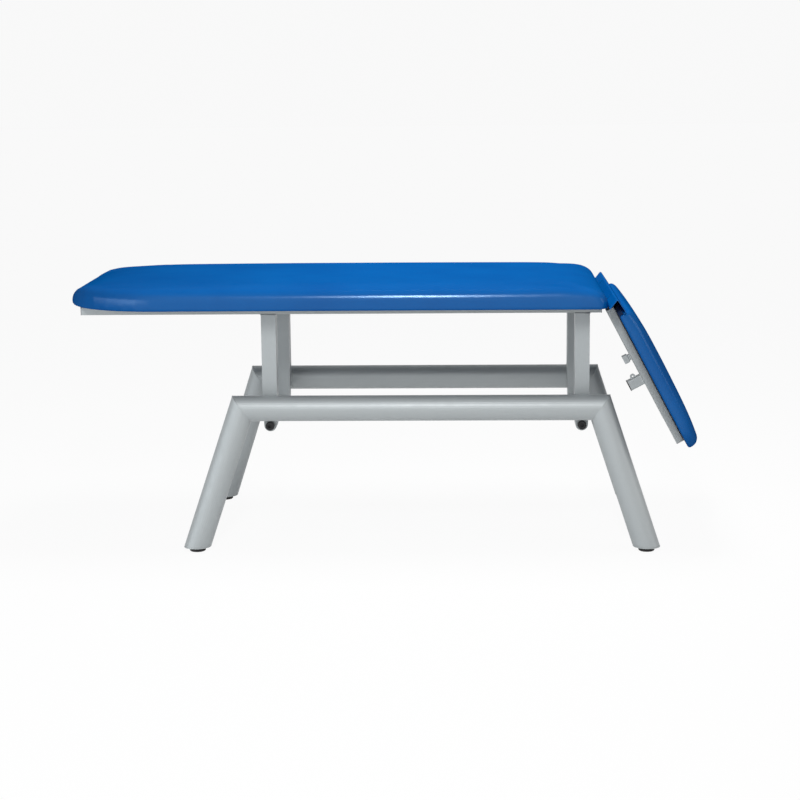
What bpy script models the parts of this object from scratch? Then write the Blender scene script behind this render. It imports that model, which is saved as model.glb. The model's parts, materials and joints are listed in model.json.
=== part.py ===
"""Fixed-height treatment table: a splayed tube base, a padded main section and a hinged head section.

Metres, +Z up. X runs from the foot end to the head end and Y across the table. The head section hangs at
its lower stop. The model is laid out about the middle of the side rails, then moved so that its origin is
on the floor under the middle of its box.
"""
from collections import namedtuple
from math import acos, atan2, cos, pi, radians, sin, sqrt, tan

import bmesh
import bpy
from mathutils import Matrix, Vector

# General
CLEARANCE = 0.0003            # left between pieces that touch
ROUND_SIDES = 40              # facets round a large tube
SMALL_ROUND_SIDES = 24        # facets round a screw, a bolt or a foot
OVERRUN = 0.02                # how far a cutter reaches past what it cuts

# Side frames
TUBE_DIAMETER = 0.070
TUBE_WALL = 0.003
RAIL_LENGTH = 0.980           # between the leg axes, at the rail's height
RAIL_SPACING = 0.5024         # between the axes of the two rails
RAIL_HEIGHT = 0.3856          # rail axis above the floor
LEG_SPLAY_ALONG = radians(18.3)
LEG_SPLAY_ACROSS = radians(8.4)

# Feet
FOOT_DIAMETER = 0.044
FOOT_HEIGHT = 0.0115
FOOT_CHAMFER = 0.002
FOOT_STUD_DIAMETER = 0.010
FOOT_STUD_LENGTH = 0.020
FOOT_PLATE_THICKNESS = 0.003

# Posts and the tie tubes between them
POST_WIDTH = 0.040
POST_DEPTH = 0.050
POST_WALL = 0.003
POST_DROP = 0.036             # below the underside of the side rail
POST_END_RADIUS = 0.017       # rounded lower end, to which the post narrows
FOOT_POST_INSET = 0.0745      # from the side frame's corner to the middle of the posts at the foot end
HEAD_POST_INSET = 0.049       # and at the head end
TIE_DIAMETER = 0.030
TIE_WALL = 0.0025
TIE_BOSS = 0.022              # length of the drilled boss in each end
SCREW_DIAMETER = 0.012
SCREW_GRIP = 0.018            # length of the screw inside the tie tube
SCREW_HEAD_DIAMETER = 0.024
SCREW_HEAD_HEIGHT = 0.016
SCREW_CHAMFER = 0.001
SOCKET_ACROSS_CORNERS = 0.0115
SOCKET_DEPTH = 0.007

# Rectangular tube of both upper frames
FRAME_WIDTH = 0.050
FRAME_HEIGHT = 0.022
FRAME_WALL = 0.002
FRAME_CORNER = 0.003
PLUG_FLANGE = 0.002
PLUG_INSERT = 0.012

# Main section
MAIN_UNDERSIDE = 0.640        # underside of the main frame above the floor
MAIN_RAIL_INSET = 0.0405      # from the cushion's foot end to the rail's end
MAIN_RAIL_SETBACK = 0.0276    # from the hinge axis back to the rail's end
MAIN_CUSHION_LENGTH = 1.475
MAIN_CUSHION_SETBACK = 0.0165
MAIN_CUSHION_THICKNESS = 0.065
FOOT_CROSS_INSET = 0.070      # from the rail's foot end to the middle of the first cross tube
FOOT_CORNER_RADIUS = 0.215    # across the table
FOOT_CORNER_LENGTH = 0.250    # along it
FOOT_FALL_REACH = 0.125       # the top rounds down towards the middle of the foot end
FOOT_FALL_DROP = 0.040
FOOT_FALL_EVEN = 0.140        # out to here on each side of the middle it comes down by the whole drop
FOOT_FALL_FADE = 0.100        # over this further width the drop fades away
FOOT_BOW = 0.003              # the corners of the foot end lie back by this much from its middle
MAIN_HINGE_RADIUS = 0.030
MAIN_HINGE_FALL_REACH = 0.095
MAIN_HINGE_FALL_DROP = 0.041

# Head section
HINGE_OVERHANG = 0.031        # hinge axis past the corner of the side frames
HINGE_ABOVE_FRAME = 0.0105    # hinge axis above the top of the main frame
HEAD_DROP_ANGLE = radians(62.1)
HINGE_RISE = 0.026            # hinge axis above the underside of the head frame
HEAD_RAIL_INSET = 0.015       # from the cushion's free end to the rail's end
HEAD_RAIL_SETBACK = 0.0187
HEAD_CROSS_INNER = 0.125      # from the hinge axis to the middle of the cross tube
HEAD_CROSS_OUTER_INSET = 0.060
HEAD_CUSHION_LENGTH = 0.431
HEAD_CUSHION_SETBACK = 0.021
HEAD_CUSHION_THICKNESS = 0.0492
HEAD_BOARD_SETBACK = 0.022
HEAD_END_RADIUS = 0.080
HEAD_HINGE_RADIUS = 0.012
HEAD_HINGE_FALL_REACH = 0.075
HEAD_HINGE_FALL_DROP = 0.022
HEAD_END_FALL_REACH = 0.250
HEAD_END_FALL_DROP = 0.012

# Upholstery of both sections
CUSHION_WIDTH = 0.650
CUSHION_CROWN = 0.0033
CUSHION_WAIST = 0.002         # how far each long side draws in at its middle
EDGE_TOP_RADIUS = 0.030
EDGE_LOW_RADIUS = 0.004
END_EDGE_SHARE = 0.6          # the rounding over the ends is this much of that over the long sides
BOARD_THICKNESS = 0.012
BOARD_INSET = 0.015           # cover and foam round the board's edge
BOARD_CORNER = 0.010

# Head hinge
LUG_THICKNESS = 0.005
ARM_THICKNESS = 0.005
EYE_RADIUS = 0.0053
HINGE_TAB_LENGTH = 0.076
HINGE_TAB_MARGIN = 0.002      # tab edge to the edge of the rail that it is welded to
HINGE_PIN_DIAMETER = 0.006
HINGE_PIN_HEAD_DIAMETER = 0.010
HINGE_PIN_HEAD_HEIGHT = 0.002
HINGE_PIN_CHAMFER = 0.0006
HINGE_PIN_END = 0.0012        # length of the pin past its clip
HINGE_WASHER_THICKNESS = 0.0008
HINGE_CLIP_DIAMETER = 0.010
HINGE_CLIP_THICKNESS = 0.0012
STOP_PIN_DIAMETER = 0.006
STOP_PIN_ROOT = 0.002         # length of the stop pin inside the lug
STOP_PIN_PLACE = 0.63         # share of the way from the eye to the arm's lower corner

# Strip that covers the hinge gap
STRIP_LOW = (0.0001, -0.0169)   # lower edge of the front face, from the hinge axis
STRIP_TOP = (-0.0139, 0.0140)   # fold between the front face and the ledge
STRIP_THICKNESS = 0.002
STRIP_RISE = 0.0045           # the ledge climbs this much towards the cushion
STRIP_REACH = 0.0302          # from the hinge axis to the strip's leg, which stands on the head board
STRIP_FOLD_RADIUS = 0.004
STRIP_SLIT_MARGIN = 0.0008    # on each side of a hinge lug, where the strip is slit to pass it
STRIP_POCKET_MARGIN = 0.0006  # round the pin and the eyes, behind the front face

# Fittings under the head section
BAR_WIDTH = 0.030
BAR_THICKNESS = 0.0015
BAR_LENGTH = 0.230
GUIDE_LENGTH = 0.022
GUIDE_WIDTH = 0.024
GUIDE_HEIGHT = 0.0145
GUIDE_NECK = 0.006            # height of the narrower foot that carries the guide
GUIDE_NECK_INSET = 0.003
GUIDE_ROUNDING = 0.001
GUIDE_PLACE = 0.1463          # from the bar's hinge end to the middle of the guide
STUB_SIDE = 0.028
STUB_WALL = 0.002
STUB_LENGTH = 0.038
STUB_CORNER = 0.003
STUB_CAP_FLANGE = 0.0025
STUB_CAP_INSERT = 0.010
EAR_RADIUS = 0.0075
EAR_THICKNESS = 0.005
EAR_HOLE_DIAMETER = 0.005
EAR_REACH = 0.0035            # from the stub's wall to the middle of the ear's hole
EAR_DROP = 0.0186             # from the stub's upper end to the middle of the ear's hole

SIDES = {"near": -1, "far": 1}
ENDS = {"foot": -1, "head": 1}

# Places that follow from the sizes above
TUBE_RADIUS = TUBE_DIAMETER / 2
POST_OUTER_Y = RAIL_SPACING / 2 - TUBE_RADIUS - CLEARANCE
POST_Y = POST_OUTER_Y - POST_DEPTH / 2
POST_INNER_Y = POST_OUTER_Y - POST_DEPTH
SCREW_Z = RAIL_HEIGHT - TUBE_RADIUS - POST_DROP + POST_END_RADIUS
MAIN_RAIL_INNER_Y = POST_OUTER_Y - FRAME_WIDTH
MAIN_TOP_OF_FRAME = MAIN_UNDERSIDE + FRAME_HEIGHT
HINGE_X = RAIL_LENGTH / 2 + HINGE_OVERHANG
MAIN_CUSHION_END = HINGE_X - MAIN_CUSHION_SETBACK
MAIN_CUSHION_START = MAIN_CUSHION_END - MAIN_CUSHION_LENGTH
HINGE_Z = MAIN_TOP_OF_FRAME + HINGE_ABOVE_FRAME
LUG_OUTER_Y = MAIN_RAIL_INNER_Y - CLEARANCE
LUG_INNER_Y = LUG_OUTER_Y - LUG_THICKNESS
WASHER_OUTER_Y = LUG_INNER_Y - CLEARANCE
ARM_OUTER_Y = WASHER_OUTER_Y - HINGE_WASHER_THICKNESS - CLEARANCE
ARM_INNER_Y = ARM_OUTER_Y - ARM_THICKNESS
CLIP_OUTER_Y = ARM_INNER_Y - CLEARANCE
CLIP_INNER_Y = CLIP_OUTER_Y - HINGE_CLIP_THICKNESS
PIN_INNER_Y = CLIP_INNER_Y - HINGE_PIN_END
HEAD_RAIL_INNER_Y = ARM_OUTER_Y + CLEARANCE
HEAD_RAIL_Y = HEAD_RAIL_INNER_Y + FRAME_WIDTH / 2
HEAD_FRAME_Z = FRAME_HEIGHT / 2 - HINGE_RISE          # middle of the head frame, from the hinge axis
HEAD_BOARD_Z = FRAME_HEIGHT - HINGE_RISE + CLEARANCE  # underside of the head board
STRIP_BACK_Z = STRIP_TOP[1] + STRIP_RISE              # where the strip's ledge meets the cushion


for leftover in list(bpy.data.objects):
    bpy.data.objects.remove(leftover, do_unlink=True)

parts = bpy.data.collections.new("treatment_table")
cutters = bpy.data.collections.new("treatment_table_cutters")
bpy.context.scene.collection.children.link(parts)
bpy.context.scene.collection.children.link(cutters)


def make_material(name, colour, roughness, metallic):
    material = bpy.data.materials.new(name)
    material.use_nodes = True
    shader = material.node_tree.nodes["Principled BSDF"]
    shader.inputs["Base Color"].default_value = (*colour, 1.0)
    shader.inputs["Roughness"].default_value = roughness
    shader.inputs["Metallic"].default_value = metallic
    return material


SILVER = make_material("silver_powder_coat", (0.52, 0.54, 0.56), 0.45, 0.6)
ZINC = make_material("zinc_plated_steel", (0.60, 0.60, 0.58), 0.35, 1.0)
BLACK_STEEL = make_material("black_steel", (0.02, 0.02, 0.022), 0.4, 0.6)
GREY_PLASTIC = make_material("grey_plastic", (0.36, 0.37, 0.38), 0.55, 0.0)
BLACK_PLASTIC = make_material("black_plastic", (0.015, 0.015, 0.017), 0.5, 0.0)
RUBBER = make_material("black_rubber", (0.018, 0.018, 0.02), 0.8, 0.0)
VINYL = make_material("blue_vinyl", (0.01, 0.10, 0.42), 0.35, 0.0)
BOARD = make_material("black_lined_board", (0.02, 0.02, 0.021), 0.85, 0.0)


def make_empty(name, parent=None, location=(0, 0, 0), rotation=(0, 0, 0)):
    empty = bpy.data.objects.new(name, None)
    parts.objects.link(empty)
    empty.parent = parent
    empty.location = location
    empty.rotation_euler = rotation
    return empty


def place(name, mesh, material, parent, location=(0, 0, 0), rotation=(0, 0, 0)):
    """Put a mesh in the model as a named piece."""
    mesh.name = name
    mesh.shade_smooth()
    mesh.set_sharp_from_angle(angle=radians(35))
    mesh.materials.append(material)
    piece = bpy.data.objects.new(name, mesh)
    parts.objects.link(piece)
    piece.parent = parent
    piece.location = location
    piece.rotation_euler = rotation
    return piece


def combine(piece, mesh, label, operation="DIFFERENCE", location=(0, 0, 0), rotation=(0, 0, 0)):
    """Cut a mesh out of a piece, or join it on, placed in the piece's own frame."""
    tool = bpy.data.objects.new(f"{piece.name}_{label}", mesh)
    cutters.objects.link(tool)
    tool.parent = piece
    tool.location = location
    tool.rotation_euler = rotation
    tool.hide_render = True
    tool.display_type = "WIRE"
    modifier = piece.modifiers.new(label, "BOOLEAN")
    modifier.operation = operation
    modifier.solver = "EXACT"
    modifier.object = tool


def to_mesh(shape):
    bmesh.ops.recalc_face_normals(shape, faces=shape.faces[:])
    mesh = bpy.data.meshes.new("shape")
    shape.to_mesh(mesh)
    shape.free()
    return mesh


def prism(radius, low, high, sides, trims=()):
    """Round or many-sided bar along Z, trimmed by planes given as a point and a normal to the waste."""
    shape = bmesh.new()
    middle = Matrix.Translation((0, 0, (low + high) / 2))
    bmesh.ops.create_cone(shape, cap_ends=True, segments=sides, radius1=radius, radius2=radius,
                          depth=high - low, matrix=middle)
    for point, normal in trims:
        everything = shape.verts[:] + shape.edges[:] + shape.faces[:]
        result = bmesh.ops.bisect_plane(shape, geom=everything, plane_co=point, plane_no=normal,
                                        clear_outer=True)
        rim = [item for item in result["geom_cut"] if isinstance(item, bmesh.types.BMEdge)]
        bmesh.ops.edgeloop_fill(shape, edges=rim)
    return to_mesh(shape)


def block(size, centre=(0, 0, 0)):
    shape = bmesh.new()
    bmesh.ops.create_cube(shape, size=1.0)
    bmesh.ops.scale(shape, vec=size, verts=shape.verts)
    bmesh.ops.translate(shape, vec=centre, verts=shape.verts)
    return to_mesh(shape)


def arc(centre, radius, start, end, steps):
    return [(centre[0] + radius * cos(start + (end - start) * step / steps),
             centre[1] + radius * sin(start + (end - start) * step / steps)) for step in range(steps + 1)]


def rounded_rectangle(left, right, half_width, left_radius, right_radius, steps=4):
    """Outline with its own corner radius at each end, anticlockwise from the lower left."""
    corners = ((left + left_radius, -half_width + left_radius, left_radius, pi),
               (right - right_radius, -half_width + right_radius, right_radius, 1.5 * pi),
               (right - right_radius, half_width - right_radius, right_radius, 2 * pi),
               (left + left_radius, half_width - left_radius, left_radius, 2.5 * pi))
    points = []
    for x, y, radius, start in corners:
        points += arc((x, y), radius, start, start + pi / 2, steps)
    return points


def flat_solid(thickness, *outlines):
    """Flat outline, with any holes after it, given its thickness along Z."""
    curve = bpy.data.curves.new("outline", "CURVE")
    curve.dimensions = "2D"
    curve.fill_mode = "BOTH"
    curve.extrude = thickness / 2
    for outline in outlines:
        spline = curve.splines.new("POLY")
        spline.points.add(len(outline) - 1)
        spline.use_cyclic_u = True
        for point, (x, y) in zip(spline.points, outline):
            point.co = (x, y, 0, 1)
    holder = bpy.data.objects.new("outline", curve)
    bpy.context.scene.collection.objects.link(holder)
    bpy.context.view_layer.update()
    mesh = bpy.data.meshes.new_from_object(holder.evaluated_get(bpy.context.evaluated_depsgraph_get()))
    bpy.data.objects.remove(holder, do_unlink=True)
    shape = bmesh.new()
    shape.from_mesh(mesh)
    bmesh.ops.remove_doubles(shape, verts=shape.verts, dist=1e-6)
    bpy.data.meshes.remove(mesh)
    return to_mesh(shape)


def turned(profile, sides, closed=False):
    """Open mesh profile for a Screw modifier: radius and height, down the outer side."""
    shape = bmesh.new()
    points = [shape.verts.new((radius, 0, height)) for radius, height in profile]
    for first, second in zip(points, points[1:] + points[:1] if closed else points[1:]):
        shape.edges.new((first, second))
    mesh = bpy.data.meshes.new("profile")
    shape.to_mesh(mesh)
    shape.free()
    return mesh, sides


def place_turned(name, profile_and_sides, material, parent, location=(0, 0, 0), rotation=(0, 0, 0)):
    profile, sides = profile_and_sides
    piece = place(name, profile, material, parent, location, rotation)
    screw = piece.modifiers.new("turn", "SCREW")
    screw.steps = sides
    screw.render_steps = sides
    screw.use_merge_vertices = True
    screw.merge_threshold = 1e-6
    screw.use_smooth_shade = True
    return piece


def frame_tube(length):
    """Rectangular tube along Z, its width along X and its height along Y."""
    outer = rounded_rectangle(-FRAME_WIDTH / 2, FRAME_WIDTH / 2, FRAME_HEIGHT / 2, FRAME_CORNER,
                              FRAME_CORNER)
    inner = rounded_rectangle(FRAME_WALL - FRAME_WIDTH / 2, FRAME_WIDTH / 2 - FRAME_WALL,
                              FRAME_HEIGHT / 2 - FRAME_WALL, FRAME_CORNER - FRAME_WALL,
                              FRAME_CORNER - FRAME_WALL, steps=2)
    return flat_solid(length, outer, inner)


def tube_plug(width, height, wall, flange, insert):
    """Plug for a rectangular tube: a flange from Z = 0 up, and an insert that reaches down inside."""
    shape = bmesh.new()
    bmesh.ops.create_cube(shape, size=1.0)
    bmesh.ops.scale(shape, vec=(width, height, flange), verts=shape.verts)
    bmesh.ops.translate(shape, vec=(0, 0, flange / 2), verts=shape.verts)
    shape.faces.ensure_lookup_table()
    seat = min(shape.faces, key=lambda face: face.calc_center_median().z)
    bmesh.ops.inset_individual(shape, faces=[seat], thickness=wall + CLEARANCE, use_even_offset=True)
    grown = bmesh.ops.extrude_face_region(shape, geom=[seat])
    moved = [item for item in grown["geom"] if isinstance(item, bmesh.types.BMVert)]
    bmesh.ops.delete(shape, geom=[seat], context="FACES_ONLY")
    bmesh.ops.translate(shape, vec=(0, 0, -insert), verts=moved)
    return to_mesh(shape)


CushionEnd = namedtuple("CushionEnd", "radius length reach drop even fade bow")


def even_end(radius, reach, drop):
    """End of a cushion whose top comes down alike over its whole width."""
    return CushionEnd(radius, radius, reach, drop, CUSHION_WIDTH, CUSHION_WIDTH, 0)


def fall(end, distance, y):
    """How far the top of a cushion has come down at a distance from its end and from its middle line."""
    if distance >= end.reach:
        return 0.0
    faded = min(max((abs(y) - end.even) / end.fade, 0.0), 1.0)
    share = 1 - faded * faded * (3 - 2 * faded)
    return share * end.drop * (1 - sqrt(1 - (1 - distance / end.reach) ** 2))


def lie_back(end, distance, y):
    """How far the bow of an end sets a point back."""
    return end.bow * (2 * y / CUSHION_WIDTH) ** 2 * max(1 - distance / end.reach, 0.0)


def cushion_ring(length, inset, start, end, arc_steps=9, side_steps=14):
    """Closed outline of a cushion at one inset: the near side from end to end, then the far side back."""
    half_width = CUSHION_WIDTH / 2
    half = half_width - inset
    end_inset = inset - (1 - END_EDGE_SHARE) * min(inset, EDGE_TOP_RADIUS)
    shrink = half / half_width
    left, right = end_inset + start.length * shrink, length - end_inset - end.length * shrink
    near = [(left + start.length * shrink * x, (start.radius + start.radius * y) * shrink - half)
            for x, y in arc((0, 0), 1, pi, 1.5 * pi, arc_steps)]
    near += [(left + (right - left) * step / side_steps, -half) for step in range(1, side_steps)]
    near += [(right + end.length * shrink * x, (end.radius + end.radius * y) * shrink - half)
             for x, y in arc((0, 0), 1, 1.5 * pi, 2 * pi, arc_steps)]
    drawn = []
    for x, y in near:
        from_middle = 2 * x / length - 1
        waist = CUSHION_WAIST / half_width * (1 - from_middle ** 2)
        drawn.append((x + lie_back(start, x, y) - lie_back(end, length - x, y), y * (1 - waist)))
    return drawn + [(x, -y) for x, y in reversed(drawn)]


def cushion(length, thickness, start, end):
    """Crowned pad with rounded edges."""
    edge = thickness - CUSHION_CROWN
    low_angles = [pi / 2 * step / 3 for step in range(4)]
    top_angles = [pi / 2 * step / 5 for step in range(6)]
    rings = [(EDGE_LOW_RADIUS * (1 - sin(angle)), EDGE_LOW_RADIUS * (1 - cos(angle)))
             for angle in low_angles]
    rings += [(EDGE_TOP_RADIUS * (1 - cos(angle)), edge - EDGE_TOP_RADIUS * (1 - sin(angle)))
              for angle in top_angles]
    span = CUSHION_WIDTH / 2 - EDGE_TOP_RADIUS
    rings += [(EDGE_TOP_RADIUS + span * share, edge + CUSHION_CROWN * (1 - (1 - share) ** 2))
              for share in (0.05, 0.11, 0.2, 0.33, 0.5)]
    shape = bmesh.new()
    loops = []
    for inset, height in rings:
        loop = []
        for x, y in cushion_ring(length, inset, start, end):
            sunk = fall(start, x, y) + fall(end, length - x, y)
            loop.append(shape.verts.new((x, y, height * (1 - sunk / thickness))))
        loops.append(loop)
    count = len(loops[0])
    for low, high in zip(loops, loops[1:]):
        for index in range(count):
            following = (index + 1) % count
            shape.faces.new((low[index], low[following], high[following], high[index]))
    for loop in (loops[0], loops[-1]):
        for index in range(count // 2 - 1):
            opposite = count - 1 - index
            shape.faces.new((loop[index], loop[index + 1], loop[opposite - 1], loop[opposite]))
    return to_mesh(shape)


def eye_outline(corners, steps=16):
    """Plate outline that runs anticlockwise through the corners and then round the hinge eye at (0, 0)."""
    reach_first, reach_last = Vector(corners[0]).length, Vector(corners[-1]).length
    start = atan2(corners[-1][1], corners[-1][0]) + acos(EYE_RADIUS / reach_last)
    end = atan2(corners[0][1], corners[0][0]) - acos(EYE_RADIUS / reach_first)
    while end < start:
        end += 2 * pi
    return list(corners) + arc((0, 0), EYE_RADIUS, start, end, steps)


def circle(radius, steps=SMALL_ROUND_SIDES):
    return arc((0, 0), radius, 0, 2 * pi * (steps - 1) / steps, steps - 1)


def folded_sheet(outline, width):
    """Open surface of a bent sheet: an outline in X and Z, run along Y."""
    shape = bmesh.new()
    points = [shape.verts.new((x, -width / 2, z)) for x, z in outline]
    edges = [shape.edges.new(pair) for pair in zip(points, points[1:])]
    swept = bmesh.ops.extrude_edge_only(shape, edges=edges)
    moved = [item for item in swept["geom"] if isinstance(item, bmesh.types.BMVert)]
    bmesh.ops.translate(shape, vec=(0, width, 0), verts=moved)
    mesh = bpy.data.meshes.new("sheet")
    shape.to_mesh(mesh)
    shape.free()
    return mesh


def filleted(points, radius, steps=4):
    """Open line with each inner corner replaced by an arc."""
    rounded = [points[0]]
    for before, corner, after in zip(points, points[1:], points[2:]):
        middle = Vector(corner)
        back, forth = (Vector(before) - middle).normalized(), (Vector(after) - middle).normalized()
        half = back.angle(forth) / 2
        centre = middle + (back + forth).normalized() * (radius / sin(half))
        first = middle + back * (radius / tan(half)) - centre
        turn = first.angle_signed(middle + forth * (radius / tan(half)) - centre)
        angle = atan2(first.y, first.x)
        rounded += arc(centre, radius, angle, angle - turn, steps)
    return rounded + [points[-1]]


def dropped(x, z):
    """Where a point of the level head section lies once the section hangs at its stop."""
    return (x * cos(HEAD_DROP_ANGLE) + z * sin(HEAD_DROP_ANGLE),
            z * cos(HEAD_DROP_ANGLE) - x * sin(HEAD_DROP_ANGLE))


table = make_empty("table_origin")
head = make_empty("head_hinge_axis", table, (HINGE_X, 0, HINGE_Z), (0, HEAD_DROP_ANGLE, 0))
upright = (pi / 2, 0, 0)        # an outline in X and Y stands up in X and Z
along_x = (pi / 2, 0, pi / 2)   # Z runs along X, and X across
across = (pi / 2, 0, 0)         # Z runs along Y


def side_frames():
    """Rails and legs, mitred where they meet, with the plates and feet under the legs."""
    for side, y_sign in SIDES.items():
        rail_y = y_sign * RAIL_SPACING / 2
        rail_turn = Matrix.Rotation(pi / 2, 3, "Y")
        rail_trims = []
        for end, x_sign in ENDS.items():
            corner = Vector((x_sign * RAIL_LENGTH / 2, rail_y, RAIL_HEIGHT))
            down = Vector((x_sign * tan(LEG_SPLAY_ALONG), y_sign * tan(LEG_SPLAY_ACROSS), -1)).normalized()
            mitre = (Vector((x_sign, 0, 0)) + down).normalized()
            rail_end = Vector((x_sign * RAIL_LENGTH / 2, 0, 0)) - mitre * CLEARANCE / 2
            rail_trims.append((rail_turn.transposed() @ rail_end, rail_turn.transposed() @ mitre))
            leg(f"{end}_{side}", corner, down, mitre)
        reach = RAIL_LENGTH / 2 + TUBE_DIAMETER
        rail = place(f"side_rail_{side}", prism(TUBE_RADIUS, -reach, reach, ROUND_SIDES, rail_trims),
                     SILVER, table, (0, rail_y, RAIL_HEIGHT), (0, pi / 2, 0))
        bore = prism(TUBE_RADIUS - TUBE_WALL, -reach - OVERRUN, reach + OVERRUN, ROUND_SIDES)
        combine(rail, bore, "bore")


def leg(label, corner, down, mitre):
    turn = (-down).to_track_quat("Z", "Y")
    inward = turn.to_matrix().transposed()
    floor_normal = inward @ Vector((0, 0, -1))

    def level(height):
        """Point on the leg's axis at a height above the floor, in the leg's own frame."""
        return Vector((0, 0, (corner.z - height) / down.z))

    plate_low = FOOT_HEIGHT + CLEARANCE
    leg_low = plate_low + FOOT_PLATE_THICKNESS + CLEARANCE
    lowest = level(0).z - TUBE_DIAMETER
    mitre_trim = (inward @ mitre * CLEARANCE / 2, inward @ -mitre)
    floor_trim = (level(leg_low), floor_normal)
    tube = prism(TUBE_RADIUS, lowest, TUBE_DIAMETER, ROUND_SIDES, (mitre_trim, floor_trim))
    piece = place(f"leg_{label}", tube, SILVER, table, corner, turn.to_euler())
    bore = prism(TUBE_RADIUS - TUBE_WALL, lowest - OVERRUN, TUBE_DIAMETER + OVERRUN, ROUND_SIDES)
    combine(piece, bore, "bore")

    plate_trims = ((level(plate_low + FOOT_PLATE_THICKNESS), -floor_normal),
                   (level(plate_low), floor_normal))
    slice_of_tube = prism(TUBE_RADIUS, lowest, TUBE_DIAMETER, ROUND_SIDES, plate_trims)
    plate = place(f"foot_plate_{label}", slice_of_tube, SILVER, table, corner, turn.to_euler())
    stud_hole = prism(FOOT_STUD_DIAMETER / 2 + CLEARANCE, -OVERRUN, OVERRUN, SMALL_ROUND_SIDES)
    combine(plate, stud_hole, "stud_hole", location=level(plate_low), rotation=inward.to_euler())

    foot_radius, stud_radius = FOOT_DIAMETER / 2, FOOT_STUD_DIAMETER / 2
    profile = [(0, FOOT_HEIGHT + FOOT_STUD_LENGTH), (stud_radius, FOOT_HEIGHT + FOOT_STUD_LENGTH),
               (stud_radius, FOOT_HEIGHT), (foot_radius - FOOT_CHAMFER, FOOT_HEIGHT),
               (foot_radius, FOOT_HEIGHT - FOOT_CHAMFER), (foot_radius, FOOT_CHAMFER),
               (foot_radius - FOOT_CHAMFER, 0), (0, 0)]
    under = corner + down * -level(plate_low).z
    place_turned(f"rubber_foot_{label}", turned(profile, SMALL_ROUND_SIDES), RUBBER, table,
                 (under.x, under.y, 0))


def posts():
    """Posts that narrow to rounded lower ends, the tie tubes between them and their screws."""
    top = MAIN_UNDERSIDE - CLEARANCE - SCREW_Z
    full = RAIL_HEIGHT + TUBE_RADIUS - SCREW_Z

    def post_outline(wall, top):
        half, radius = POST_WIDTH / 2 - wall, POST_END_RADIUS - wall
        straight = [(half, full), (half, top), (-half, top), (-half, full)]
        return arc((0, 0), radius, pi, 2 * pi, 16) + straight

    outline, inside = post_outline(0, top), post_outline(POST_WALL, top + OVERRUN)
    for end, x in (("foot", FOOT_POST_INSET - RAIL_LENGTH / 2),
                   ("head", RAIL_LENGTH / 2 - HEAD_POST_INSET)):
        for side, y_sign in SIDES.items():
            post = place(f"post_{end}_{side}", flat_solid(POST_DEPTH, outline), SILVER, table,
                         (x, y_sign * POST_Y, SCREW_Z), upright)
            combine(post, flat_solid(POST_DEPTH - 2 * POST_WALL, inside), "hollow")
            hole = prism(SCREW_DIAMETER / 2 + CLEARANCE, -POST_DEPTH, POST_DEPTH, SMALL_ROUND_SIDES)
            combine(post, hole, "screw_hole")
            post_screw(f"post_screw_{end}_{side}", x, y_sign)
        tie_tube(f"tie_tube_{end}", x)


def tie_tube(name, x):
    half = POST_INNER_Y - CLEARANCE
    outer, inner = TIE_DIAMETER / 2, TIE_DIAMETER / 2 - TIE_WALL
    hole = SCREW_DIAMETER / 2 + CLEARANCE
    profile = [(outer, half), (outer, -half), (hole, -half), (hole, TIE_BOSS - half),
               (inner, TIE_BOSS - half), (inner, half - TIE_BOSS), (hole, half - TIE_BOSS), (hole, half)]
    place_turned(name, turned(profile, SMALL_ROUND_SIDES, closed=True), SILVER, table, (x, 0, SCREW_Z),
                 across)


def post_screw(name, x, y_sign):
    shank, head_radius = SCREW_DIAMETER / 2, SCREW_HEAD_DIAMETER / 2
    length = POST_DEPTH + 2 * CLEARANCE + SCREW_GRIP
    profile = [(0, SCREW_HEAD_HEIGHT), (head_radius - SCREW_CHAMFER, SCREW_HEAD_HEIGHT),
               (head_radius, SCREW_HEAD_HEIGHT - SCREW_CHAMFER), (head_radius, 0), (shank, 0),
               (shank, SCREW_CHAMFER - length), (shank - SCREW_CHAMFER, -length), (0, -length)]
    seat = y_sign * (POST_OUTER_Y + CLEARANCE)
    screw = place_turned(name, turned(profile, SMALL_ROUND_SIDES), BLACK_STEEL, table, (x, seat, SCREW_Z),
                         (-y_sign * pi / 2, 0, 0))
    socket = prism(SOCKET_ACROSS_CORNERS / 2, SCREW_HEAD_HEIGHT - SOCKET_DEPTH,
                   SCREW_HEAD_HEIGHT + OVERRUN, 6)
    combine(screw, socket, "socket")


def main_frame():
    """Two long rails with plugged ends, and the cross tubes between them."""
    rail_end = HINGE_X - MAIN_RAIL_SETBACK
    rail_start = MAIN_CUSHION_START + MAIN_RAIL_INSET
    middle = (rail_start + rail_end) / 2
    rail_y = POST_OUTER_Y - FRAME_WIDTH / 2
    height = MAIN_UNDERSIDE + FRAME_HEIGHT / 2
    seat = PLUG_FLANGE + CLEARANCE
    for side, y_sign in SIDES.items():
        place(f"main_rail_{side}", frame_tube(rail_end - rail_start - 2 * seat), SILVER, table,
              (middle, y_sign * rail_y, height), along_x)
        for end, x, turn in (("foot", rail_start + PLUG_FLANGE, -pi / 2),
                             ("head", rail_end - PLUG_FLANGE, pi / 2)):
            plug = tube_plug(FRAME_WIDTH, FRAME_HEIGHT, FRAME_WALL, PLUG_FLANGE, PLUG_INSERT)
            place(f"main_rail_plug_{end}_{side}", plug, GREY_PLASTIC, table, (x, y_sign * rail_y, height),
                  (pi / 2, 0, turn))
    between_rails = 2 * (MAIN_RAIL_INNER_Y - CLEARANCE)
    between_lugs = 2 * (LUG_INNER_Y - CLEARANCE)
    for name, x, length in (("foot", rail_start + FOOT_CROSS_INSET, between_rails),
                            ("middle", middle, between_rails),
                            ("head", rail_end - FRAME_WIDTH / 2, between_lugs)):
        place(f"main_cross_{name}", frame_tube(length), SILVER, table, (x, 0, height), across)


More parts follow.
